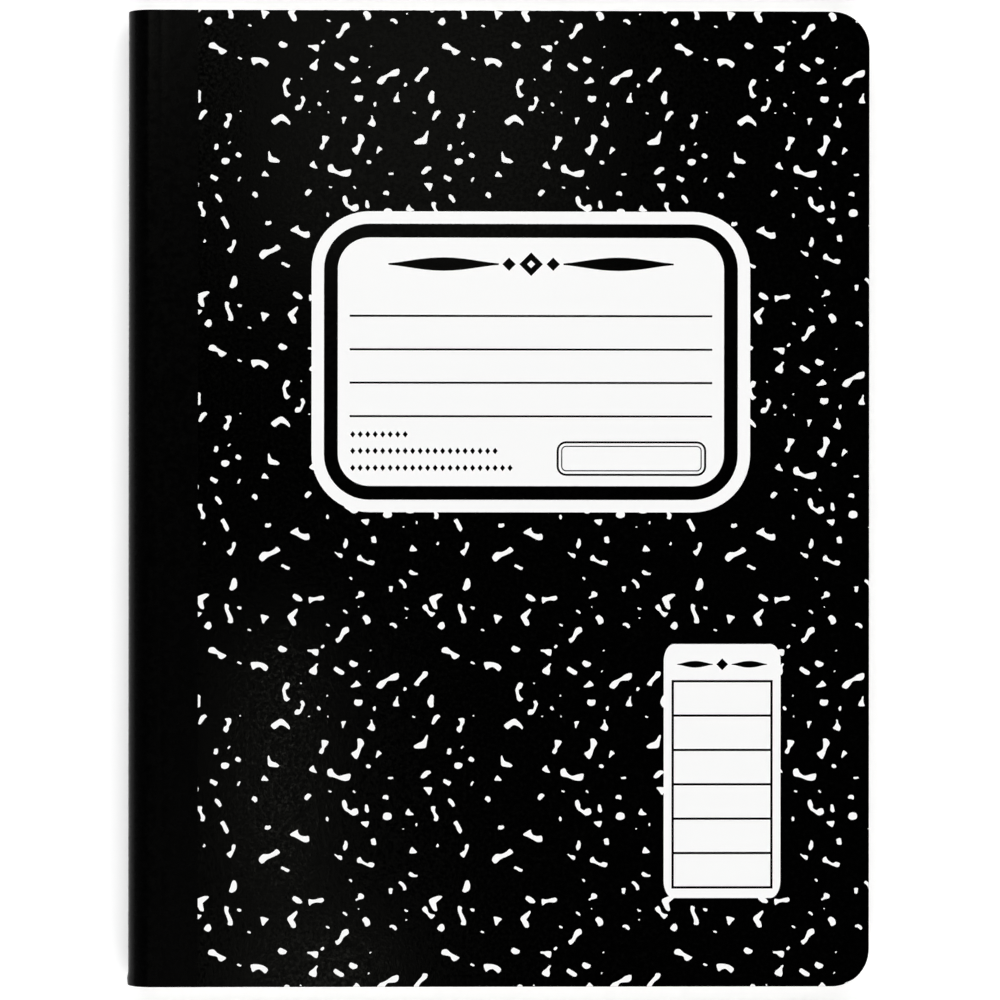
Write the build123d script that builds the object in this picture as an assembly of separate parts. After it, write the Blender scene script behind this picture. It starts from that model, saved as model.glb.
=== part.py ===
from build123d import *
import math
import os

# A sewn notebook lying on its back cover.
# X runs from the spine to the fore-edge, Y from tail to head, Z up through the pages.
# The origin is under the middle of the book, on the surface that it lies on.

# Driving dimensions, in millimetres
book_width = 188.5  # spine to fore-edge
book_length = 247.65  # tail to head
spine_thickness = 12.0  # over both covers, at the sewn fold
fore_thickness = 9.4  # over both covers, at the fore-edge
corner_radius = 9.5  # fore-edge corners, cut through covers and pages in one stroke
board_thickness = 0.65  # cover board
tape_thickness = 0.15  # spine tape, pressed into the board until it lies flush
crease_from_spine = 8.9  # hinge crease of each cover
tape_from_spine = 18.2  # edge of the tape on each cover
crease_depth = 0.08  # groove rolled into the tape along the crease
crease_half_width = 0.5  # half of that groove's width
page_air = 0.05  # air between a cover and the pages
thread_diameter = 0.35  # sewing thread
strand_diameter = 0.3  # needle thread where it is pulled tight through the sheets
needle_hole_diameter = 0.5  # hole that the needle leaves
stitch_length = 8.0  # from one needle hole to the next
stitch_margin = 4.0  # least distance from a needle hole to head or tail
thread_clearance = 0.02  # round the needle thread in its groove
gutter_clearance = 0.1  # round the bobbin thread in the centre fold
lock_gap = 0.05  # between a strand's tip and the bobbin thread

# Places that follow from them
spine_x = -book_width / 2
fore_x = book_width / 2
crease_x = spine_x + crease_from_spine
tape_edge_x = spine_x + tape_from_spine
fold_radius = spine_thickness / 2
fold_x = spine_x + fold_radius  # centre of the rounded fold, and the innermost sheet's fold
fold_z = spine_thickness / 2
front_fall = (spine_thickness - fore_thickness) / (fore_x - crease_x)
page_inset = board_thickness + page_air
needle_thread_x = spine_x + tape_thickness + thread_clearance + thread_diameter / 2


def front_z(x):
    """Height of the front cover's outer face, level to the crease and then falling to the fore-edge."""
    return spine_thickness - max(x - crease_x, 0) * front_fall


def section(points):
    """Face in the XZ plane with straight sides."""
    return make_face(Plane.XZ * Polyline(*points, close=True))


def full_length(face):
    """Prism of a section, from tail to head."""
    return extrude(face, amount=book_length / 2, both=True)


def fold_arc(inset):
    """Half circle round the fold, inset from the tape's outer face, from the back to the front."""
    radius = fold_radius - inset
    back_end = (fold_x, fold_z - radius)
    front_end = (fold_x, fold_z + radius)
    return Plane.XZ * ThreePointArc(back_end, (fold_x - radius, fold_z), front_end)


def wrapped_section(back_run, inset, front_run):
    """Face that closes a half circle round the fold with straight sides."""
    radius = fold_radius - inset
    back_end = (fold_x, fold_z - radius)
    front_end = (fold_x, fold_z + radius)
    sides = Plane.XZ * Polyline(front_end, *front_run, *back_run, back_end)
    return make_face([fold_arc(inset), sides])


def knife_cut(piece):
    """Trim a piece to the book's outline, with round corners at the fore-edge only."""
    block = Box(book_width, book_length, spine_thickness, align=(Align.CENTER, Align.CENTER, Align.MIN))
    fore_edges = block.edges().filter_by(Axis.Z).group_by(Axis.X)[-1]
    return fillet(fore_edges, corner_radius) & piece


def stitch_places():
    """Y of each needle hole, spaced evenly about the middle."""
    count = int((book_length - 2 * stitch_margin) / stitch_length) + 1
    first = -(count - 1) * stitch_length / 2
    return [first + number * stitch_length for number in range(count)]


def rod_along_y(x, diameter):
    """Straight rod at the height of the fold, from tail to head."""
    return Pos(x, 0, fold_z) * Rot(90, 0, 0) * Cylinder(diameter / 2, book_length)


def rods_through_fold(start_x, end_x, diameter):
    """One rod across the folds at each needle hole."""
    length = end_x - start_x
    middle = (start_x + end_x) / 2
    rod = Rot(0, 90, 0) * Cylinder(diameter / 2, length)
    return [Pos(middle, place, fold_z) * rod for place in stitch_places()]


def make_page_block():
    """All the sheets, folded once and nested, with the needle holes and the gutter of the centre fold."""
    back_z = page_inset
    front_run = [(crease_x, front_z(crease_x) - page_inset), (fore_x, front_z(fore_x) - page_inset)]
    sheets = knife_cut(full_length(wrapped_section([(fore_x, back_z)], page_inset, front_run)))
    gutter = rod_along_y(fold_x, thread_diameter + 2 * gutter_clearance)
    holes = rods_through_fold(spine_x, fold_x, needle_hole_diameter)
    return sheets - [gutter, *holes]


def make_spine_board():
    """The folded board between its two creases, with the needle holes and the needle thread's groove."""
    outer = wrapped_section(
        [(crease_x, tape_thickness)], tape_thickness, [(crease_x, spine_thickness - tape_thickness)]
    )
    inner = wrapped_section(
        [(crease_x, board_thickness)], board_thickness, [(crease_x, spine_thickness - board_thickness)]
    )
    board = full_length(outer) - full_length(inner)
    groove_width = thread_diameter + 2 * thread_clearance
    groove = rod_along_y(needle_thread_x, groove_width)
    mouth_depth = needle_thread_x - spine_x
    mouth = Pos(spine_x + mouth_depth / 2, 0, fold_z) * Box(mouth_depth, book_length, groove_width)
    holes = rods_through_fold(needle_thread_x, fold_x, needle_hole_diameter)
    return board - [groove, mouth, *holes]


def make_front_cover():
    """The board from the front crease to the fore-edge, pressed thinner under the tape."""
    return knife_cut(full_length(section([
        (crease_x, front_z(crease_x) - tape_thickness),
        (tape_edge_x, front_z(tape_edge_x) - tape_thickness),
        (tape_edge_x, front_z(tape_edge_x)),
        (fore_x, front_z(fore_x)),
        (fore_x, front_z(fore_x) - board_thickness),
        (crease_x, front_z(crease_x) - board_thickness),
    ])))


def make_back_cover():
    """The board from the back crease to the fore-edge, flat on the table."""
    return knife_cut(full_length(section([
        (crease_x, tape_thickness),
        (tape_edge_x, tape_thickness),
        (tape_edge_x, 0),
        (fore_x, 0),
        (fore_x, board_thickness),
        (crease_x, board_thickness),
    ])))


def make_spine_tape():
    """The tape round the fold, from crease to crease."""
    groove_x = crease_x - crease_half_width
    outer = wrapped_section(
        [(crease_x, crease_depth), (groove_x, 0)],
        0,
        [(groove_x, spine_thickness), (crease_x, spine_thickness - crease_depth)],
    )
    inner = wrapped_section(
        [(crease_x, tape_thickness)], tape_thickness, [(crease_x, spine_thickness - tape_thickness)]
    )
    return full_length(outer) - full_length(inner)


def make_front_tape():
    """The tape on the front cover, from the crease to its edge."""
    groove_x = crease_x + crease_half_width
    return full_length(section([
        (crease_x, front_z(crease_x) - crease_depth),
        (groove_x, front_z(groove_x)),
        (tape_edge_x, front_z(tape_edge_x)),
        (tape_edge_x, front_z(tape_edge_x) - tape_thickness),
        (crease_x, front_z(crease_x) - tape_thickness),
    ]))


def make_back_tape():
    """The tape on the back cover, from the crease to its edge."""
    groove_x = crease_x + crease_half_width
    return full_length(section([
        (crease_x, crease_depth),
        (groove_x, 0),
        (tape_edge_x, 0),
        (tape_edge_x, tape_thickness),
        (crease_x, tape_thickness),
    ]))


def make_needle_thread():
    """Thread along the outside of the fold, with a strand down each needle hole."""
    line = rod_along_y(needle_thread_x, thread_diameter)
    strand_end = fold_x - thread_diameter / 2 - lock_gap
    return line + rods_through_fold(needle_thread_x, strand_end, strand_diameter)


def make_bobbin_thread():
    """Thread along the gutter of the innermost sheet."""
    return rod_along_y(fold_x, thread_diameter)


pieces = {
    "page_block": make_page_block(),
    "spine_board": make_spine_board(),
    "front_cover": make_front_cover(),
    "back_cover": make_back_cover(),
    "spine_tape": make_spine_tape(),
    "front_tape": make_front_tape(),
    "back_tape": make_back_tape(),
    "needle_thread": make_needle_thread(),
    "bobbin_thread": make_bobbin_thread(),
}

os.makedirs("parts", exist_ok=True)
for name, piece in pieces.items():
    export_step(piece, f"parts/{name}.step")
    print(name, len(piece.solids()), "solid,", round(piece.volume, 1), "mm3")

front_tilt = math.degrees(math.atan(front_fall))
print("front cover falls", round(front_tilt, 3), "degrees; crease at x", crease_x)
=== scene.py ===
import math
import random
import bpy
import bmesh
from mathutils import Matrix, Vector, noise
from mathutils.geometry import delaunay_2d_cdt


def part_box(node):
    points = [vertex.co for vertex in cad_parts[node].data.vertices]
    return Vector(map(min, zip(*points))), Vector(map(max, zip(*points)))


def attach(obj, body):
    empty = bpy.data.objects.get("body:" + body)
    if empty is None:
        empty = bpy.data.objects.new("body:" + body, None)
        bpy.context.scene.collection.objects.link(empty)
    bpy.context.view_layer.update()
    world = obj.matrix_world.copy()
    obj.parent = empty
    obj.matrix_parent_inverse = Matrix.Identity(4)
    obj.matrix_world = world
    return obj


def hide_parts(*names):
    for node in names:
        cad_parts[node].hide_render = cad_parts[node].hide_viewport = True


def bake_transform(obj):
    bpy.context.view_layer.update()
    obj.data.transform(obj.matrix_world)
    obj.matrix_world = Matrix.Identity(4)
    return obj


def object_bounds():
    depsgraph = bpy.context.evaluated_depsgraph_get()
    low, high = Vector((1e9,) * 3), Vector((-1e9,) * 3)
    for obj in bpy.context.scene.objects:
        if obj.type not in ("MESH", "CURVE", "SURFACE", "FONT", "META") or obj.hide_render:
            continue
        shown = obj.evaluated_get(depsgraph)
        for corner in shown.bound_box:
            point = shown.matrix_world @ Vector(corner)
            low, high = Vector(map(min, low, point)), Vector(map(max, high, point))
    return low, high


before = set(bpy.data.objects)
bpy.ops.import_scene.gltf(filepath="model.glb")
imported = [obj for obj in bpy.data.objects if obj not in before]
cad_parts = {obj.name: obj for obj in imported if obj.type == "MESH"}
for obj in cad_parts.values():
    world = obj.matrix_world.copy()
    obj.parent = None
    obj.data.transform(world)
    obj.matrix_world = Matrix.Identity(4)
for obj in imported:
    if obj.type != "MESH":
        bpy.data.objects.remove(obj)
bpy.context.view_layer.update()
mm = 0.001

# the book's own sizes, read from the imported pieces
spineTapeLow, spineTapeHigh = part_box("spine_tape")
_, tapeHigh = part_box("back_tape")
_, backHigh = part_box("back_cover")
frontLow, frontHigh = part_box("front_cover")
pagesLow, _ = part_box("page_block")

book = {
    "spineX": spineTapeLow[0],
    "foreX": frontHigh[0],
    "creaseX": frontLow[0],
    "tapeEdgeX": tapeHigh[0],
    "halfLength": frontHigh[1],
    "spineThickness": spineTapeHigh[2],
    "board": backHigh[2],
    "tape": tapeHigh[2],
    "pageInset": pagesLow[2],
    "cornerRadius": 9.5 * mm,
    "grooveDepth": 0.04 * mm,  # hinge groove pressed along each crease
    "grooveWidth": 0.75 * mm,
    "hingeZone": 0.5 * mm,  # half of the strip that bends at a crease
}
foldRadius = book["spineThickness"] / 2
foldX = book["spineX"] + foldRadius
quarterFold = math.pi / 2 * foldRadius  # from the middle of the spine round to a cover
foreZ = frontLow[2] + book["board"]
coverFall = (book["spineThickness"] - foreZ) / (book["foreX"] - book["creaseX"])


# height of a cover's outer face: side is 1 on the front and -1 on the back
def coverZ(side, x):
    if side < 0:
        return 0.0
    return book["spineThickness"] - max(x - book["creaseX"], 0) * coverFall


# run is the distance along the cover from the middle of the spine
def runAt(x):
    return quarterFold + x - foldX


def xAt(run):
    return foldX + run - quarterFold


def groove(run):
    away = (xAt(run) - book["creaseX"]) / book["grooveWidth"]
    return book["grooveDepth"] * math.exp(-away * away)


# point of the book's section at a run, inset from the outer face
def sectionPoint(side, run, inset):
    if run < quarterFold:
        angle = run / foldRadius
        radius = foldRadius - inset
        return foldX - radius * math.cos(angle), foldRadius + side * radius * math.sin(angle)
    x = xAt(run)
    return x, coverZ(side, x) - side * inset


creaseRun = runAt(book["creaseX"])
tapeEdgeRun = runAt(book["tapeEdgeX"])
foreRun = runAt(book["foreX"])
print("frame read")


# gloss and grain that several finishes share
printGloss = {
    "specular": 0.1, "roughness": (0.05, 0.26), "patchSize": 0.9 * mm,
    "grainSize": 0.7 * mm, "stretch": (1, 1, 1), "curl": 0.6,
    "bumpStrength": 1.0, "bumpDepth": 0.012 * mm,
}
writingPaper = {
    "specular": 0.25, "roughness": (0.62, 0.76), "patchSize": 12 * mm,
    "grainSize": 0.35 * mm, "stretch": (1, 0.5, 1), "curl": 0.3,
    "bumpStrength": 0.4, "bumpDepth": 0.015 * mm,
}
finishes = {
    "blackPrint": {**printGloss, "colour": (0.0002, 0.0002, 0.0002)},
    "whitePrint": {**printGloss, "colour": (0.93, 0.93, 0.925)},
    "boardLining": {
        "colour": (0.74, 0.73, 0.69),
        "specular": 0.25, "roughness": (0.6, 0.75), "patchSize": 20 * mm,
        "grainSize": 0.5 * mm, "stretch": (1, 0.4, 1), "curl": 0.3,
        "bumpStrength": 0.5, "bumpDepth": 0.02 * mm,
    },
    "boardEdge": {
        "colour": (0.46, 0.45, 0.42),
        "specular": 0.2, "roughness": (0.8, 0.95), "patchSize": 3 * mm,
        "grainSize": 0.18 * mm, "stretch": (0.3, 0.3, 1), "curl": 0.4,
        "bumpStrength": 0.9, "bumpDepth": 0.05 * mm,
    },
    "tapeCloth": {
        "colour": (0.0004, 0.0004, 0.0004),
        "specular": 0.05, "roughness": (0.17, 0.34), "patchSize": 1.4 * mm,
        "grainSize": 0.45 * mm, "stretch": (1, 0.25, 1), "curl": 0.3,
        "bumpStrength": 1.0, "bumpDepth": 0.015 * mm,
    },
    "pagePaper": {**writingPaper, "colour": (0.86, 0.85, 0.81)},
    "ruleBlue": {**writingPaper, "colour": (0.27, 0.46, 0.68)},
    "marginRed": {**writingPaper, "colour": (0.72, 0.25, 0.3)},
    "sewingThread": {
        "colour": (0.78, 0.77, 0.72),
        "specular": 0.3, "roughness": (0.6, 0.8), "patchSize": 2 * mm,
        "grainSize": 0.1 * mm, "stretch": (1, 0.3, 1), "curl": 0.2,
        "bumpStrength": 0.8, "bumpDepth": 0.03 * mm,
    },
}
mottle = {
    "low": 0.3, "high": 0.7,  # nearly all of a noise lies between these
    "patchDetail": 3,
    "grainDetail": 2.5,
    "grainRoughness": 0.6,
}


def nodeMaterial(name, look):
    material = bpy.data.materials.new(name)
    material.use_nodes = True
    nodes = material.node_tree.nodes
    links = material.node_tree.links
    shader = nodes["Principled BSDF"]
    shader.inputs["Base Color"].default_value = (*look["colour"], 1)
    shader.inputs["Specular IOR Level"].default_value = look["specular"]
    place = nodes.new("ShaderNodeTexCoord")

    # roughness drifts between two values over cloudy patches
    patches = nodes.new("ShaderNodeTexNoise")
    patches.inputs["Scale"].default_value = 1 / look["patchSize"]
    patches.inputs["Detail"].default_value = mottle["patchDetail"]
    spread = nodes.new("ShaderNodeMapRange")
    spread.inputs["From Min"].default_value = mottle["low"]
    spread.inputs["From Max"].default_value = mottle["high"]
    spread.inputs["To Min"].default_value = look["roughness"][0]
    spread.inputs["To Max"].default_value = look["roughness"][1]
    links.new(place.outputs["Object"], patches.inputs["Vector"])
    links.new(patches.outputs["Fac"], spread.inputs["Value"])
    links.new(spread.outputs["Result"], shader.inputs["Roughness"])

    # grain, stretched along the fibres
    stretch = nodes.new("ShaderNodeMapping")
    stretch.inputs["Scale"].default_value = look["stretch"]
    grain = nodes.new("ShaderNodeTexNoise")
    grain.inputs["Scale"].default_value = 1 / look["grainSize"]
    grain.inputs["Detail"].default_value = mottle["grainDetail"]
    grain.inputs["Roughness"].default_value = mottle["grainRoughness"]
    grain.inputs["Distortion"].default_value = look["curl"]
    bump = nodes.new("ShaderNodeBump")
    bump.inputs["Strength"].default_value = look["bumpStrength"]
    bump.inputs["Distance"].default_value = look["bumpDepth"]
    links.new(place.outputs["Object"], stretch.inputs["Vector"])
    links.new(stretch.outputs["Vector"], grain.inputs["Vector"])
    links.new(grain.outputs["Fac"], bump.inputs["Height"])
    links.new(bump.outputs["Normal"], shader.inputs["Normal"])
    return material


materials = {name: nodeMaterial(name, look) for name, look in finishes.items()}
print("materials made")


# outlines of print, in millimetres of run and length
def circlePoints(centre, radii, start, end, steps):
    step = math.radians(end - start) / steps
    angles = [math.radians(start) + step * number for number in range(steps + 1)]
    return [(centre[0] + radii[0] * math.cos(angle), centre[1] + radii[1] * math.sin(angle))
            for angle in angles]


def roundedBox(centre, size, radii, steps=14):
    right, up = size[0] / 2 - radii[0], size[1] / 2 - radii[1]
    corners = [(right, up, 0), (-right, up, 90), (-right, -up, 180), (right, -up, 270)]
    points = []
    for offsetX, offsetY, start in corners:
        corner = (centre[0] + offsetX, centre[1] + offsetY)
        points += circlePoints(corner, radii, start, start + 90, steps)
    return points


def plainBox(centre, size):
    x, y = size[0] / 2, size[1] / 2
    return [(centre[0] + a, centre[1] + b) for a, b in ((x, y), (-x, y), (-x, -y), (x, -y))]


def diamond(centre, size):
    x, y = size[0] / 2, size[1] / 2
    return [(centre[0] + a, centre[1] + b) for a, b in ((x, 0), (0, y), (-x, 0), (0, -y))]


# a rule that swells in the middle and runs to fine points
def swelledRule(centre, size, steps=12, tip=0.06, fullness=1.4):
    upper = []
    for number in range(steps + 1):
        along = number / steps
        rise = tip + (0.5 - tip) * math.sin(math.pi * along) ** fullness
        upper.append((centre[0] + size[0] * (0.5 - along), centre[1] + size[1] * rise))
    lower = [(x, 2 * centre[1] - y) for x, y in reversed(upper)]
    return upper + lower


# cuts every corner by a share of its sides, once for each share
def cutCorners(points, shares):
    for share in shares:
        cut = []
        for here, there in zip(points, points[1:] + points[:1]):
            for part in (share, 1 - share):
                cut.append((here[0] * (1 - part) + there[0] * part, here[1] * (1 - part) + there[1] * part))
        points = cut
    return points


# white flecks of the marbled print, in mm
marble = {
    "seed": 41,
    "tile": (59.1, 76.6),
    "tileStart": -2,  # from the tape's edge
    "tuck": 1,  # how far under the tape a fleck's middle may lie
    "count": 100,
    "tries": 60,  # places tried for each fleck
    "gap": 0.6,  # least distance between two flecks
    "ease": 3.2,  # a place with this much room is always taken
    "headings": (48, 82, 140, 168),  # degrees that the flecks lean to
    "wander": 22,
    "widthRange": (0.62, 1.38),
    "slideRange": (-0.06, 0.06),
    "rounding": (0.21, 0.25),
    # share of all flecks, length, half-widths along the fleck as shares of its length,
    # whole bend in degrees, and how the bend is shared along the fleck
    "kinds": {
        "speck": {
            "share": 10, "length": (0.35, 0.6), "widths": (0.3, 0.38, 0.28),
            "bend": (0, 20), "turns": (1,)},
        "dot": {
            "share": 22, "length": (0.75, 1.3), "widths": (0.21, 0.33, 0.22),
            "bend": (0, 30), "turns": (1,)},
        "pebble": {
            "share": 16, "length": (1.4, 2.3), "widths": (0.26, 0.38, 0.32),
            "bend": (0, 30), "turns": (1,)},
        "wedge": {
            "share": 10, "length": (1.7, 2.6), "widths": (0.08, 0.26, 0.5),
            "bend": (0, 25), "turns": (1,)},
        "bell": {
            "share": 6, "length": (2.1, 3.2), "widths": (0.09, 0.1, 0.3, 0.33),
            "bend": (0, 30), "turns": (1, 1)},
        "bean": {
            "share": 14, "length": (2.1, 3.4), "widths": (0.14, 0.21, 0.2, 0.14),
            "bend": (0, 55), "turns": (1, 1)},
        "club": {
            "share": 9, "length": (3.4, 5.4), "widths": (0.14, 0.17, 0.09, 0.16, 0.24),
            "bend": (10, 60), "turns": (1, 1, 1)},
        "bone": {
            "share": 6, "length": (4.4, 6.6), "widths": (0.1, 0.14, 0.06, 0.06, 0.14, 0.1),
            "bend": (20, 110), "turns": (1, 0, 1, 0)},
        "snake": {
            "share": 5, "length": (3.6, 5.6), "widths": (0.13, 0.12, 0.08, 0.14, 0.13),
            "bend": (40, 80), "turns": (1, 0, -1)},
        "claw": {
            "share": 5, "length": (4.0, 6.0), "widths": (0.05, 0.09, 0.17, 0.13, 0.1),
            "bend": (45, 85), "turns": (0, 1, 0)},
    },
}


def fleckOutline(kind, length, draw):
    widths = kind["widths"]
    step = length / (len(widths) - 1)
    bend = draw.choice((-1, 1)) * math.radians(draw.uniform(*kind["bend"]))
    whole = sum(abs(turn) for turn in kind["turns"])
    turns = [bend * turn / whole for turn in kind["turns"]] + [0]
    lean = draw.choice(marble["headings"]) + draw.uniform(-1, 1) * marble["wander"]
    heading = math.radians(lean) + draw.choice((0, math.pi)) - sum(turns) / 2
    x = y = 0.0
    left, right = [], []
    for number, width in enumerate(widths):
        turn = turns[number - 1] if number else 0
        across = heading + turn / 2 + math.pi / 2
        heading += turn
        for way, points in ((1, left), (-1, right)):
            reach = way * width * length * draw.uniform(*marble["widthRange"])
            slide = length * draw.uniform(*marble["slideRange"])
            points.append((
                x + reach * math.cos(across) + slide * math.sin(across),
                y + reach * math.sin(across) - slide * math.cos(across)))
        x += step * math.cos(heading)
        y += step * math.sin(heading)
    outline = cutCorners(right + left[::-1], marble["rounding"])
    middleX = sum(point[0] for point in outline) / len(outline)
    middleY = sum(point[1] for point in outline) / len(outline)
    return [(px - middleX, py - middleY) for px, py in outline]


def reachOf(outline):
    return max(math.hypot(*point) for point in outline)


# room between a fleck set down at x, y and the nearest one, across the tile's sides too
def roomAt(x, y, reach, outline, placed):
    tileX, tileY = marble["tile"]
    room = marble["ease"]
    for otherX, otherY, otherReach, other in placed:
        shiftX = (x - otherX + tileX / 2) % tileX - tileX / 2
        shiftY = (y - otherY + tileY / 2) % tileY - tileY / 2
        if math.hypot(shiftX, shiftY) > reach + otherReach + room:
            continue
        for px, py in outline:
            room = min(room, min(math.dist((px + shiftX, py + shiftY), point) for point in other))
        if room < marble["gap"]:
            break
    return room


# one tile of flecks that meets itself at every side
def marbleTile():
    draw = random.Random(marble["seed"])
    total = sum(kind["share"] for kind in marble["kinds"].values())
    flecks = []
    for kind in marble["kinds"].values():
        for _ in range(round(marble["count"] * kind["share"] / total)):
            flecks.append(fleckOutline(kind, draw.uniform(*kind["length"]), draw))
    flecks.sort(key=lambda outline: -reachOf(outline))
    tileX, tileY = marble["tile"]
    placed = []
    for outline in flecks:
        reach = reachOf(outline)
        best, bestRoom = None, 0
        for _ in range(marble["tries"]):
            x, y = draw.uniform(0, tileX), draw.uniform(0, tileY)
            room = roomAt(x, y, reach, outline, placed)
            if room > bestRoom:
                best, bestRoom = (x, y, reach, outline), room
            if room > draw.uniform(marble["gap"], marble["ease"]):
                break
        if bestRoom > marble["gap"]:
            placed.append(best)
    return placed


marbleFlecks = marbleTile()


def marbleShapes(side):
    tileX, tileY = marble["tile"]
    tapeEdge = tapeEdgeRun / mm
    startX, startY = tapeEdge + marble["tileStart"], -book["halfLength"] / mm
    endX, endY = foreRun / mm, book["halfLength"] / mm
    shapes = []
    for column in range(-1, int((endX - startX) / tileX) + 2):
        for row in range(-1, int((endY - startY) / tileY) + 2):
            for x, y, reach, outline in marbleFlecks:
                centreX = startX + column * tileX + x
                centreY = startY + row * tileY + (y if side > 0 else tileY - y)
                underTape = centreX < tapeEdge - marble["tuck"]
                if underTape or centreX > endX + reach or abs(centreY) > endY + reach:
                    continue
                shapes.append(([(centreX + px, centreY + py) for px, py in outline], "whitePrint"))
    return shapes


# ruled label and ruling sample on the front, in mm: centres are from the middle of the book,
# and what lies inside them is from their own centres
label = {
    "centre": (8.3, 34.7),
    "size": (111.3, 76.3),
    "corner": 14.7,
    "border": 3.15,  # white edge outside the black ring
    "ring": 3.5,
    "rules": {"y": (11.65, 3.15, -5.3, -13.8), "size": (92.0, 0.54)},
    "ornament": {
        "y": 24.8, "rule": (28, 3.4), "ruleX": 22.2, "diamond": (3.4, 3.4), "diamondX": 5.6,
        "middle": (6.0, 6.0), "eye": (2.0, 2.0)},
    "dots": {
        "left": -45.2, "pitch": 1.9, "size": (1.3, 1.7),
        "rows": {-18.4: 8, -22.6: 20, -26.9: 22}},  # place of each row and its number of dots
    "box": {"centre": (25.5, -24.5), "size": (38, 8.8), "corner": 2.4, "insets": (0, 0.55, 1.15, 1.45)},
}
sample = {
    "centre": (56.9, -69.1),
    "size": (29.7, 64.5),
    "corners": (2.6, 4.4),
    "box": (25.7, 52.95),
    "boxDrop": 3.37,
    "rows": 6,
    "line": 0.6,
    "ornament": {"y": 27.1, "rule": (9, 1.7), "ruleX": 6.9, "diamond": (3.0, 3.0)},
}


def coverRun(x):
    return runAt(x * mm) / mm


def labelShapes():
    centre = (coverRun(label["centre"][0]), label["centre"][1])
    shapes = []
    inset = 0.0
    for grow, ink in ((0, "whitePrint"), (label["border"], "blackPrint"), (label["ring"], "whitePrint")):
        inset += grow
        radius = label["corner"] - inset
        size = (label["size"][0] - 2 * inset, label["size"][1] - 2 * inset)
        shapes.append((roundedBox(centre, size, (radius, radius)), ink))
    for y in label["rules"]["y"]:
        shapes.append((plainBox((centre[0], centre[1] + y), label["rules"]["size"]), "blackPrint"))

    # at the head, two swelled rules with diamonds between them
    ornament = label["ornament"]
    headY = centre[1] + ornament["y"]
    for way in (-1, 1):
        ruleCentre = (centre[0] + way * ornament["ruleX"], headY)
        shapes.append((swelledRule(ruleCentre, ornament["rule"]), "blackPrint"))
        diamondCentre = (centre[0] + way * ornament["diamondX"], headY)
        shapes.append((diamond(diamondCentre, ornament["diamond"]), "blackPrint"))
    shapes.append((diamond((centre[0], headY), ornament["middle"]), "blackPrint"))
    shapes.append((diamond((centre[0], headY), ornament["eye"]), "whitePrint"))

    # at the foot, dotted lines on the left and an empty double-lined box on the right
    dots = label["dots"]
    for y, count in dots["rows"].items():
        for number in range(count):
            dot = (centre[0] + dots["left"] + number * dots["pitch"], centre[1] + y)
            shapes.append((diamond(dot, dots["size"]), "blackPrint"))
    box = label["box"]
    boxCentre = (centre[0] + box["centre"][0], centre[1] + box["centre"][1])
    for number, inset in enumerate(box["insets"]):
        size = (box["size"][0] - 2 * inset, box["size"][1] - 2 * inset)
        radius = box["corner"] - inset
        ink = "whitePrint" if number % 2 else "blackPrint"
        shapes.append((roundedBox(boxCentre, size, (radius, radius), 5), ink))
    return shapes


def sampleShapes():
    centre = (coverRun(sample["centre"][0]), sample["centre"][1])
    shapes = [(roundedBox(centre, sample["size"], sample["corners"], 8), "whitePrint")]
    boxCentre = (centre[0], centre[1] - sample["boxDrop"])
    width, height = sample["box"]
    line = sample["line"]
    shapes.append((plainBox(boxCentre, (width, height)), "blackPrint"))
    rowHeight = (height - line) / sample["rows"]
    for row in range(sample["rows"]):
        y = boxCentre[1] + height / 2 - line / 2 - rowHeight * (row + 0.5)
        shapes.append((plainBox((boxCentre[0], y), (width - 2 * line, rowHeight - line)), "whitePrint"))
    ornament = sample["ornament"]
    topY = centre[1] + ornament["y"]
    for way in (-1, 1):
        ruleCentre = (centre[0] + way * ornament["ruleX"], topY)
        shapes.append((swelledRule(ruleCentre, ornament["rule"]), "blackPrint"))
    shapes.append((diamond((centre[0], topY), ornament["diamond"]), "blackPrint"))
    return shapes


# splits a sheet's face along its print: triangles with the number of the last shape that covers each,
# and for each point the points of the sheet's outline that it came from
def splitFace(sheet, shapes, columns):
    points, faces, edges = [], [], []
    for outline, _ in [(sheet, None)] + shapes:
        faces.append(list(range(len(points), len(points) + len(outline))))
        points += [Vector(point) for point in outline]
    reach = max(abs(point[1]) for point in sheet) + 1
    for run in columns:
        edges.append((len(points), len(points) + 1))
        points += [Vector((run, -reach)), Vector((run, reach))]
    insideOnly, nearness = 1, 1e-5
    made = delaunay_2d_cdt(points, edges, faces, insideOnly, nearness, True)
    madePoints, _, madeFaces, sources, _, origins = made
    kept = [(face, max(origin)) for face, origin in zip(madeFaces, origins) if 0 in origin]
    sources = [[source for source in found if source < len(sheet)] for found in sources]
    return madePoints, kept, sources


# the outer edge of a set of triangles, in order
def rimOf(kept):
    sides = {}
    for face, _ in kept:
        for here, there in zip(face, list(face[1:]) + [face[0]]):
            sides[(here, there)] = True
    following = {here: there for here, there in sides if (there, here) not in sides}
    start = next(iter(following))
    rim = [start]
    while following[rim[-1]] != start:
        rim.append(following[rim[-1]])
    return rim


# a cover's outline in mm, from the middle of the spine round both fore-edge corners
def sheetOutline(endRun, halfLength, radius, spacing, cornerSteps=24):
    points = []

    def straight(start, end):
        count = max(1, round(math.dist(start, end) / spacing))
        for number in range(count):
            share = number / count
            points.append((start[0] + (end[0] - start[0]) * share, start[1] + (end[1] - start[1]) * share))

    def corner(centreY, start):
        centre = (endRun - radius, centreY)
        points.extend(circlePoints(centre, (radius, radius), start, start + 90, cornerSteps)[:-1])

    low, high = -halfLength, halfLength
    straight((0, low), (endRun - radius, low))
    corner(low + radius, 270)
    straight((endRun, low + radius), (endRun, high - radius))
    corner(high - radius, 0)
    straight((endRun - radius, high), (0, high))
    straight((0, high), (0, low))
    return points


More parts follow.
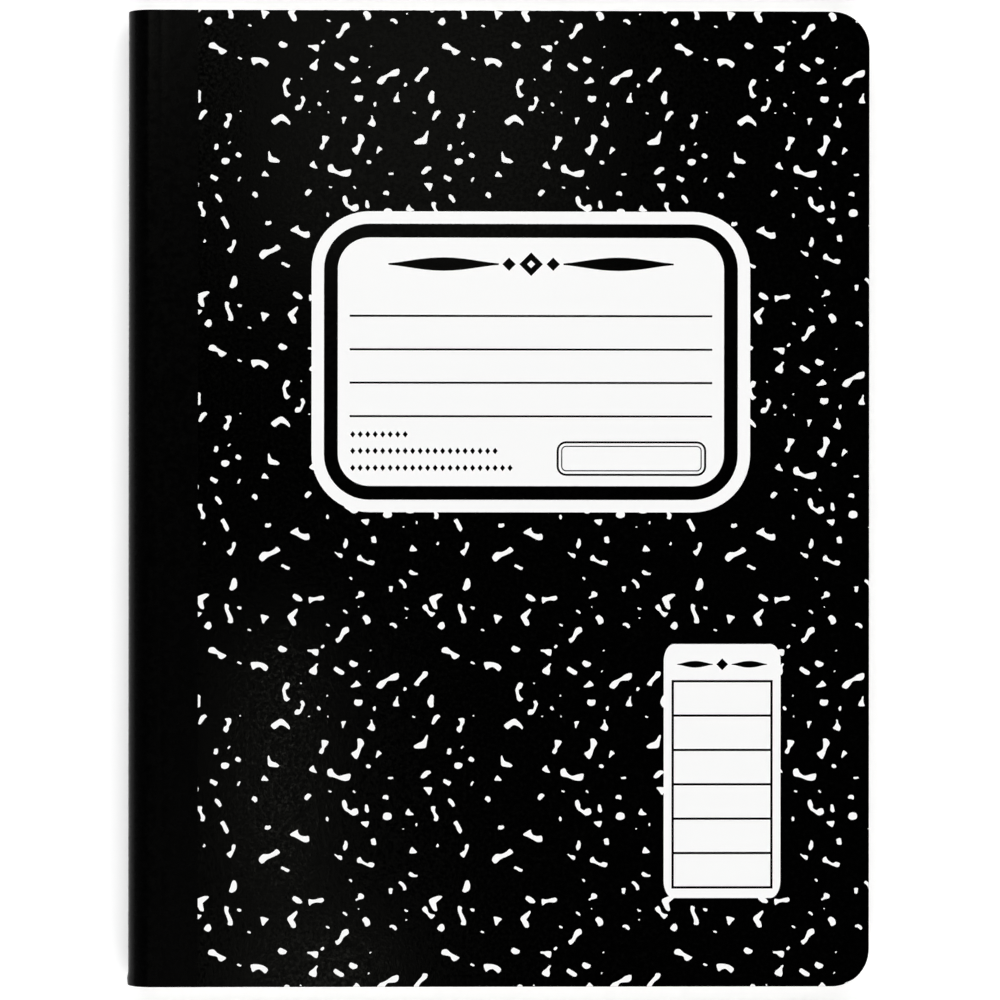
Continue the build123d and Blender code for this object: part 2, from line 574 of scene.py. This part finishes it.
# place of a plate's point: run and y in mm, inset in metres
def platePoint(side, run, y, inset):
    x, z = sectionPoint(side, run * mm, inset)
    return x, y * mm, z


def plateFace(mesh, side, plate, shapes, points, kept):
    inks = [plate["face"]] + [ink for _, ink in shapes]
    verts = {}
    for face, owner in kept:
        for number in face:
            if number not in verts:
                run, y = points[number]
                verts[number] = mesh.verts.new(platePoint(side, run, y, plate["outer"](run * mm)))
        corners = [verts[number] for number in face]
        made = mesh.faces.new(corners if side > 0 else corners[::-1])
        made.material_index = plate["slots"].index(inks[owner])
    return verts


# from the face's rim out over the bevel, down the raw edge, and in again to the lining
def plateEdge(mesh, side, plate, rimPoints, rimVerts):
    bevel = plate["bevel"] / mm
    count = len(rimPoints)
    outward = []
    for number in range(count):
        along = rimPoints[(number + 1) % count] - rimPoints[number - 1]
        outward.append(Vector((along.y, -along.x)).normalized())
    rings = [rimVerts]
    for level in (0, 1, 2):
        ring = []
        for number in range(count):
            run, y = rimPoints[number]
            top, bottom = plate["outer"](run * mm), plate["inner"](run * mm)
            inset = (top + plate["bevel"], bottom - plate["bevel"], bottom)[level]
            push = 0 if level == 2 else bevel + plate["fray"](run, y, level)
            offRun = max(run + outward[number].x * push, 0)
            offY = y + outward[number].y * push
            ring.append(mesh.verts.new(platePoint(side, offRun, offY, inset)))
        rings.append(ring)
    for level, finish in enumerate((plate["face"], plate["edge"], plate["lining"])):
        upper, lower = rings[level], rings[level + 1]
        for number in range(count):
            after = (number + 1) % count
            quad = [upper[number], lower[number], lower[after], upper[after]]
            made = mesh.faces.new(quad if side > 0 else quad[::-1])
            made.material_index = plate["slots"].index(finish)
    return rings[-1]


# closes the last ring, split at the same columns as the face
def plateLining(mesh, side, plate, rimPoints, lastRing):
    outline = [tuple(point) for point in rimPoints]
    points, kept, sources = splitFace(outline, [], plate["columns"])
    verts = {}
    for face, _ in kept:
        for number in face:
            if number in verts:
                continue
            if sources[number]:
                verts[number] = lastRing[sources[number][0]]
            else:
                run, y = points[number]
                verts[number] = mesh.verts.new(platePoint(side, run, y, plate["inner"](run * mm)))
        corners = [verts[number] for number in face]
        made = mesh.faces.new(corners[::-1] if side > 0 else corners)
        made.material_index = plate["slots"].index(plate["lining"])


# a thin sheet bent round the fold, with print on its outer face
def makePlate(mesh, side, plate, shapes):
    bevel = plate["bevel"] / mm
    endRun, halfLength = foreRun / mm - bevel, book["halfLength"] / mm - bevel
    outline = sheetOutline(endRun, halfLength, book["cornerRadius"] / mm - bevel, plate["spacing"])
    points, kept, _ = splitFace(outline, shapes, plate["columns"])
    faceVerts = plateFace(mesh, side, plate, shapes, points, kept)
    rim = rimOf(kept)
    rimPoints = [points[number] for number in rim]
    lastRing = plateEdge(mesh, side, plate, rimPoints, [faceVerts[number] for number in rim])
    plateLining(mesh, side, plate, rimPoints, lastRing)


def finishMesh(mesh, name, slots, sharpDegrees):
    bmesh.ops.recalc_face_normals(mesh, faces=mesh.faces)
    for face in mesh.faces:
        face.smooth = True
    for edge in mesh.edges:
        if len(edge.link_faces) != 2 or edge.calc_face_angle(0) > math.radians(sharpDegrees):
            edge.smooth = False
    data = bpy.data.meshes.new(name)
    mesh.to_mesh(data)
    mesh.free()
    for slot in slots:
        data.materials.append(materials[slot])
    piece = bpy.data.objects.new(name, data)
    bpy.context.collection.objects.link(piece)
    print(name, "has", len(data.polygons), "faces")
    return piece


bendPlan = {
    "foldSteps": 18,  # from the middle of the spine round to a cover
    "zoneSteps": 5,  # through half of the hinge zone
    "pastSteps": 3,  # past each end of the zone, as far apart
}
bendSteps = bendPlan["zoneSteps"] + bendPlan["pastSteps"]


# runs in mm at which boards and tape are split so that they bend smoothly
def bendRuns():
    runs = [quarterFold * number / bendPlan["foldSteps"] for number in range(1, bendPlan["foldSteps"] + 1)]
    for number in range(-bendSteps, bendSteps + 1):
        runs.append(creaseRun + book["hingeZone"] * number / bendPlan["zoneSteps"])
    return sorted(run / mm for run in runs)


boardPlan = {
    "bevel": 0.05 * mm,
    "spacing": 0.7,
    "step": 0.3 * mm,  # the tape lies over the edge of its own recess by this much
    "stepHalf": 0.02,  # half-width of that edge, mm
    "rough": {"depth": 0.015, "rate": 1.7, "layer": 3.1},  # raw edge all round, mm
    # burr that the knife left on the head edge, from and to in mm from the middle
    "burr": {"from": -44, "to": 28, "depth": 0.1, "rate": 1.1, "layer": 7.7, "rise": 0.1},
    "sharpDegrees": 12,
}


def boardOuter(run):
    recess = book["tape"] if run < tapeEdgeRun - boardPlan["step"] else 0
    return recess + groove(run)


def boardInner(run):
    return book["board"]


def boardFray(run, y, level):
    rough, burr = boardPlan["rough"], boardPlan["burr"]
    spot = Vector((run * rough["rate"], y * rough["rate"], rough["layer"] + level))
    push = rough["depth"] * noise.noise(spot)
    x = xAt(run * mm) / mm
    atHead = y > book["halfLength"] / mm - 1
    if atHead and burr["from"] < x < burr["to"] and level == 0:
        height = noise.noise(Vector((run * burr["rate"], burr["layer"], 0))) + burr["rise"]
        push += burr["depth"] * max(0, height)
    return push


def makeBoard(name, side, shapes):
    stepRun = (tapeEdgeRun - boardPlan["step"]) / mm
    plate = {
        "bevel": boardPlan["bevel"], "spacing": boardPlan["spacing"],
        "columns": bendRuns() + [stepRun - boardPlan["stepHalf"], stepRun + boardPlan["stepHalf"]],
        "outer": boardOuter, "inner": boardInner, "fray": boardFray,
        "face": "blackPrint", "edge": "boardEdge", "lining": "boardLining",
        "slots": ["blackPrint", "whitePrint", "boardEdge", "boardLining"],
    }
    mesh = bmesh.new()
    makePlate(mesh, side, plate, shapes)
    piece = finishMesh(mesh, name, plate["slots"], boardPlan["sharpDegrees"])
    return piece


frontBoard = makeBoard("cover_board_front", 1, marbleShapes(1) + labelShapes() + sampleShapes())
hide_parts("front_cover", "spine_board")
backBoard = makeBoard("cover_board_back", -1, marbleShapes(-1))
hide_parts("back_cover", "spine_board")


# spine tape, in a front and a back half that meet in the middle of the spine
tapePlan = {
    "proud": 0.05 * mm,
    "rowLength": 1.6 * mm,
    "nearRuns": (0, 0.06 * mm, 0.18 * mm, 0.4 * mm),  # close beside the middle of the spine
    "flatSteps": 10,
    # the ripple dies out over settle towards the middle, so that the two halves meet
    "ripple": {"depth": 0.02 * mm, "rates": (0.5, 0.22), "layer": 5.0, "settle": 2 * mm},
    "nub": {"reach": 0.45 * mm, "fromTail": 1.0 * mm, "length": 0.9 * mm, "width": 3.0 * mm},  # frayed end
    "sharpDegrees": 40,
}


def tapeRelief(side, run, y):
    ripple, nub = tapePlan["ripple"], tapePlan["nub"]
    spot = Vector((run / mm * ripple["rates"][0], y / mm * ripple["rates"][1], side * ripple["layer"]))
    relief = ripple["depth"] * noise.noise(spot) * min(1, run / ripple["settle"])
    tail = (y + book["halfLength"] - nub["fromTail"]) / nub["length"]
    middle = run / nub["width"]
    return relief + nub["reach"] * math.exp(-tail * tail - middle * middle)


def tapeRuns():
    runs = list(tapePlan["nearRuns"]) + [run * mm for run in bendRuns()]
    count = tapePlan["flatSteps"]
    start = creaseRun + book["hingeZone"] * bendSteps / bendPlan["zoneSteps"]
    runs += [start + (tapeEdgeRun - start) * number / count for number in range(1, count + 1)]
    return sorted(set(round(run, 7) for run in runs))


def makeTape(name, side):
    runs = tapeRuns()
    rows = round(2 * book["halfLength"] / tapePlan["rowLength"])
    ys = [book["halfLength"] * (2 * row / rows - 1) for row in range(rows + 1)]
    mesh = bmesh.new()
    outer, inner = [], []
    for run in runs:
        outerRow, innerRow = [], []
        for y in ys:
            top = groove(run) - tapePlan["proud"] - tapeRelief(side, run, y)
            x, z = sectionPoint(side, run, top)
            outerRow.append(mesh.verts.new((x, y, z)))
            bottom = min(top + book["tape"] + tapePlan["proud"], book["tape"] + groove(run))
            x, z = sectionPoint(side, run, bottom)
            innerRow.append(mesh.verts.new((x, y, z)))
        outer.append(outerRow)
        inner.append(innerRow)
    for a in range(len(runs) - 1):
        for b in range(rows):
            mesh.faces.new((outer[a][b], outer[a + 1][b], outer[a + 1][b + 1], outer[a][b + 1]))
            mesh.faces.new((inner[a][b + 1], inner[a + 1][b + 1], inner[a + 1][b], inner[a][b]))
    for a in range(len(runs) - 1):
        mesh.faces.new((outer[a + 1][0], outer[a][0], inner[a][0], inner[a + 1][0]))
        mesh.faces.new((outer[a][rows], outer[a + 1][rows], inner[a + 1][rows], inner[a][rows]))
    for b in range(rows):
        mesh.faces.new((outer[0][b], outer[0][b + 1], inner[0][b + 1], inner[0][b]))
        mesh.faces.new((outer[-1][b + 1], outer[-1][b], inner[-1][b], inner[-1][b + 1]))
    piece = finishMesh(mesh, name, ["tapeCloth"], tapePlan["sharpDegrees"])
    return piece


frontTape = makeTape("tape_front_half", 1)
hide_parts("front_tape", "spine_tape")
backTape = makeTape("tape_back_half", -1)
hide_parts("back_tape", "spine_tape")


# sheets, folded once and nested, with a ruled leaf on each outer face
pagePlan = {
    "seed": 7,
    "sheets": 50,
    "paperShare": (0.62, 0.94),  # share of a sheet's space that is paper, the rest is air
    "trim": 0.12 * mm,  # most that a sheet is cut short
    "foldSteps": 10,
    "cornerSteps": 8,
    "flatFrom": 4 * mm,  # past the crease
    "leaf": {"thick": 0.08 * mm, "bevel": 0.01 * mm, "spacing": 60, "columns": 10},
    "sharpDegrees": 12,
}
ruling = {
    "pitch": 8.73,
    "firstLine": 92.0,  # above the middle of the page
    "lastLine": -116.0,
    "lineStart": 0.4,  # from the middle of the spine
    "thick": 0.28,
    "margin": 31.75,
    "overhang": 1,
}


# point of the section at a run, with share 0 on the outermost leaf and 1 at the middle of the sheets
def sheetPoint(side, run, share):
    keep = 1 - share
    if run < quarterFold:
        angle = run / foldRadius
        radius = (foldRadius - book["pageInset"]) * keep
        return foldX - radius * math.cos(angle), foldRadius + side * radius * math.sin(angle)
    x = xAt(run)
    middle = coverZ(1, x) / 2
    half = middle - book["pageInset"]
    return x, middle + side * half * keep


# runs from the middle of the spine out through a fore-edge corner
def sheetRuns():
    radius = book["cornerRadius"]
    runs = [quarterFold * step / pagePlan["foldSteps"] for step in range(pagePlan["foldSteps"] + 1)]
    runs += [creaseRun + pagePlan["flatFrom"], foreRun - radius]
    for step in range(1, pagePlan["cornerSteps"] + 1):
        runs.append(foreRun - radius + radius * math.sin(math.pi / 2 * step / pagePlan["cornerSteps"]))
    return runs


def makeSheet(mesh, number, draw):
    headTrim, tailTrim, frontTrim, backTrim = [draw.uniform(-1, 0) * pagePlan["trim"] for _ in range(4)]
    spaces = pagePlan["sheets"] + 1
    outerShare = (number + 1) / spaces
    innerShare = min(outerShare + draw.uniform(*pagePlan["paperShare"]) / spaces, 1)
    radius = book["cornerRadius"]
    runs = sheetRuns()
    columns = []
    for side, run in [(1, run) for run in reversed(runs)] + [(-1, run) for run in runs[1:]]:
        intoCorner = max(run - (foreRun - radius), 0)
        cut = radius - math.sqrt(max(radius * radius - intoCorner * intoCorner, 0))
        shift = (frontTrim if side > 0 else backTrim) * min(1, intoCorner / radius)
        head, tail = book["halfLength"] - cut + headTrim, -book["halfLength"] + cut - tailTrim
        outerX, outerZ = sheetPoint(side, run, outerShare)
        innerX, innerZ = sheetPoint(side, run, innerShare)
        columns.append([mesh.verts.new(place) for place in (
            (outerX + shift, tail, outerZ), (outerX + shift, head, outerZ),
            (innerX + shift, head, innerZ), (innerX + shift, tail, innerZ))])
    for here, there in zip(columns, columns[1:]):
        for corner in range(4):
            after = (corner + 1) % 4
            mesh.faces.new((here[corner], there[corner], there[after], here[after]))
    mesh.faces.new(columns[0])
    mesh.faces.new(columns[-1][::-1])


def rulingShapes(side):
    start, end = ruling["lineStart"], foreRun / mm + ruling["overhang"]
    shapes = []
    y = ruling["firstLine"]
    while y > ruling["lastLine"]:
        shapes.append((plainBox(((start + end) / 2, y), (end - start, ruling["thick"])), "ruleBlue"))
        y -= ruling["pitch"]
    marginX = book["spineX"] / mm + ruling["margin"]
    if side < 0:
        marginX = book["foreX"] / mm - ruling["margin"]
    height = 2 * (book["halfLength"] / mm + ruling["overhang"])
    shapes.append((plainBox((coverRun(marginX), 0), (ruling["thick"], height)), "marginRed"))
    return shapes


def makePages():
    draw = random.Random(pagePlan["seed"])
    leaf = pagePlan["leaf"]
    columns = [quarterFold / mm * number / leaf["columns"] for number in range(1, leaf["columns"] + 1)]
    plate = {
        "bevel": leaf["bevel"], "spacing": leaf["spacing"], "columns": columns,
        "outer": lambda run: book["pageInset"],
        "inner": lambda run: book["pageInset"] + leaf["thick"],
        "fray": lambda run, y, level: 0,
        "face": "pagePaper", "edge": "pagePaper", "lining": "pagePaper",
        "slots": ["pagePaper", "ruleBlue", "marginRed"],
    }
    mesh = bmesh.new()
    for side in (1, -1):
        makePlate(mesh, side, plate, rulingShapes(side))
    for number in range(pagePlan["sheets"]):
        makeSheet(mesh, number, draw)
    piece = finishMesh(mesh, "page_sheets", plate["slots"], pagePlan["sharpDegrees"])
    return piece


pages = makePages()
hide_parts("page_block")

for node in ("needle_thread", "bobbin_thread"):
    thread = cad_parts[node]
    thread.data.materials.clear()
    thread.data.materials.append(materials["sewingThread"])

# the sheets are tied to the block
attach(pages, "block")
for piece in (frontBoard, frontTape):  # their placement is applied to their meshes
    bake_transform(piece)
for piece in (backBoard, backTape):
    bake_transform(piece)


studio = {
    "floorSize": 6.0,
    "floorColour": (0.93, 0.93, 0.93),
    "floorRoughness": 0.9,
    "floorGlow": (0.22, 0.7),  # near the book, where its shadow falls, and far off
    "floorNear": (0.45, 1.4),  # distances from the middle between which the glow rises
    "worldLow": (0.35, 0.35, 0.35),
    "worldHigh": (0.01, 0.01, 0.01),
    "worldRise": (0.3, 0.85),
    "gleamColour": (1.0, 1.0, 0.88),
    "eyeHeight": 0.852,
    "eyePlace": (0.00045, -0.00033),
    "eyeRoll": 0.05,
    "viewWidth": 0.2533,  # seen across the picture at the front cover
}
softLamps = {
    "headLeft": {"place": (-0.55, 1.35, 1.15), "size": (1.4, 1.4), "power": 14.0},
    "headRight": {"place": (0.55, 1.35, 1.15), "size": (1.4, 1.4), "power": 14.0},
    "tailLeft": {"place": (-0.55, -1.35, 1.15), "size": (1.4, 1.4), "power": 14.0},
    "tailRight": {"place": (0.55, -1.35, 1.15), "size": (1.4, 1.4), "power": 14.0},
}
# weak lamps that only leave a soft gleam on the tape and on the black print
gleamLamps = {
    "gleamSpine": {"place": (-0.25, 0.37, 1.0), "size": (0.05, 0.12), "power": 0.55},
    "gleamSpineTail": {"place": (-0.22, -0.38, 1.0), "size": (0.05, 0.05), "power": 0.16},
    "gleamHead": {"place": (-0.013, 0.215, 1.0), "size": (0.184, 0.18), "power": 0.08},
    "gleamHeadCore": {"place": (0.002, 0.215, 1.0), "size": (0.1, 0.16), "power": 0.1},
    "gleamMiddle": {"place": (-0.093, -0.145, 1.0), "size": (0.014, 0.14), "power": 0.027},
    "gleamTail": {"place": (-0.07, -0.27, 1.0), "size": (0.07, 0.06), "power": 0.025},
}


# plain pale paper, which looks white to the eye and in reflections but keeps the book's shadow
def floorMaterial():
    material = bpy.data.materials.new("floorPaper")
    material.use_nodes = True
    nodes, links = material.node_tree.nodes, material.node_tree.links
    shader = nodes["Principled BSDF"]
    shader.inputs["Base Color"].default_value = (*studio["floorColour"], 1)
    shader.inputs["Roughness"].default_value = studio["floorRoughness"]
    shader.inputs["Specular IOR Level"].default_value = 0
    shader.inputs["Emission Color"].default_value = (1, 1, 1, 1)
    path = nodes.new("ShaderNodeLightPath")
    seen = nodes.new("ShaderNodeMath")
    seen.operation = "MAXIMUM"
    glassy = nodes.new("ShaderNodeMath")
    glassy.operation = "MAXIMUM"
    glow = nodes.new("ShaderNodeMath")
    glow.operation = "MULTIPLY"
    place = nodes.new("ShaderNodeTexCoord")
    distance = nodes.new("ShaderNodeVectorMath")
    distance.operation = "LENGTH"
    rise = nodes.new("ShaderNodeMapRange")
    rise.inputs["From Min"].default_value = studio["floorNear"][0]
    rise.inputs["From Max"].default_value = studio["floorNear"][1]
    rise.inputs["To Min"].default_value = studio["floorGlow"][0]
    rise.inputs["To Max"].default_value = studio["floorGlow"][1]
    links.new(place.outputs["Object"], distance.inputs[0])
    links.new(distance.outputs["Value"], rise.inputs["Value"])
    links.new(rise.outputs["Result"], glow.inputs[1])
    links.new(path.outputs["Is Glossy Ray"], glassy.inputs[0])
    links.new(path.outputs["Is Transmission Ray"], glassy.inputs[1])
    links.new(path.outputs["Is Camera Ray"], seen.inputs[0])
    links.new(glassy.outputs["Value"], seen.inputs[1])
    links.new(seen.outputs["Value"], glow.inputs[0])
    links.new(glow.outputs["Value"], shader.inputs["Emission Strength"])
    return material


def makeFloor():
    half = studio["floorSize"] / 2
    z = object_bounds()[0][2]
    corners = [(-half, -half, z), (half, -half, z), (half, half, z), (-half, half, z)]
    data = bpy.data.meshes.new("floor")
    data.from_pydata(corners, [], [(0, 1, 2, 3)])
    data.materials.append(floorMaterial())
    floor = bpy.data.objects.new("floor", data)
    bpy.context.collection.objects.link(floor)


# pale near the horizon and dark overhead, so that the black print keeps its depth from above
def makeWorld():
    world = bpy.data.worlds.new("studio")
    bpy.context.scene.world = world
    world.use_nodes = True
    nodes, links = world.node_tree.nodes, world.node_tree.links
    place = nodes.new("ShaderNodeTexCoord")
    split = nodes.new("ShaderNodeSeparateXYZ")
    ramp = nodes.new("ShaderNodeValToRGB")
    low, high = ramp.color_ramp.elements
    low.position, high.position = studio["worldRise"]
    low.color = (*studio["worldLow"], 1)
    high.color = (*studio["worldHigh"], 1)
    links.new(place.outputs["Generated"], split.inputs["Vector"])
    links.new(split.outputs["Z"], ramp.inputs["Fac"])
    path = nodes.new("ShaderNodeLightPath")
    seen = nodes.new("ShaderNodeMix")
    seen.data_type = "RGBA"
    seen.inputs["B"].default_value = (1, 1, 1, 1)
    links.new(path.outputs["Is Camera Ray"], seen.inputs["Factor"])
    links.new(ramp.outputs["Color"], seen.inputs["A"])
    links.new(seen.outputs["Result"], nodes["Background"].inputs["Color"])


def makeLamp(name, plan, shape):
    data = bpy.data.lights.new(name, "AREA")
    data.shape = shape
    data.size, data.size_y = plan["size"]
    data.energy = plan["power"]
    lamp = bpy.data.objects.new(name, data)
    lamp.location = plan["place"]
    lamp.visible_camera = False
    bpy.context.collection.objects.link(lamp)
    return lamp


def makeLamps():
    for name, plan in softLamps.items():
        lamp = makeLamp(name, plan, "ELLIPSE")
        lamp.rotation_euler = (-Vector(plan["place"])).to_track_quat("-Z", "Y").to_euler()
    for name, plan in gleamLamps.items():  # these hang level
        lamp = makeLamp(name, plan, "RECTANGLE")
        lamp.data.color = studio["gleamColour"]
        lamp.visible_diffuse = False


def makeCamera():
    data = bpy.data.cameras.new("camera")
    distance = studio["eyeHeight"] - book["spineThickness"]
    data.lens_unit = "FOV"
    data.angle = 2 * math.atan(studio["viewWidth"] / 2 / distance)
    camera = bpy.data.objects.new("camera", data)
    camera.location = (*studio["eyePlace"], studio["eyeHeight"])
    camera.rotation_euler = (0, 0, math.radians(studio["eyeRoll"]))
    bpy.context.collection.objects.link(camera)
    bpy.context.scene.camera = camera


makeFloor()
makeWorld()
makeLamps()
makeCamera()
bpy.context.scene.view_settings.view_transform = "Standard"
print("studio ready")
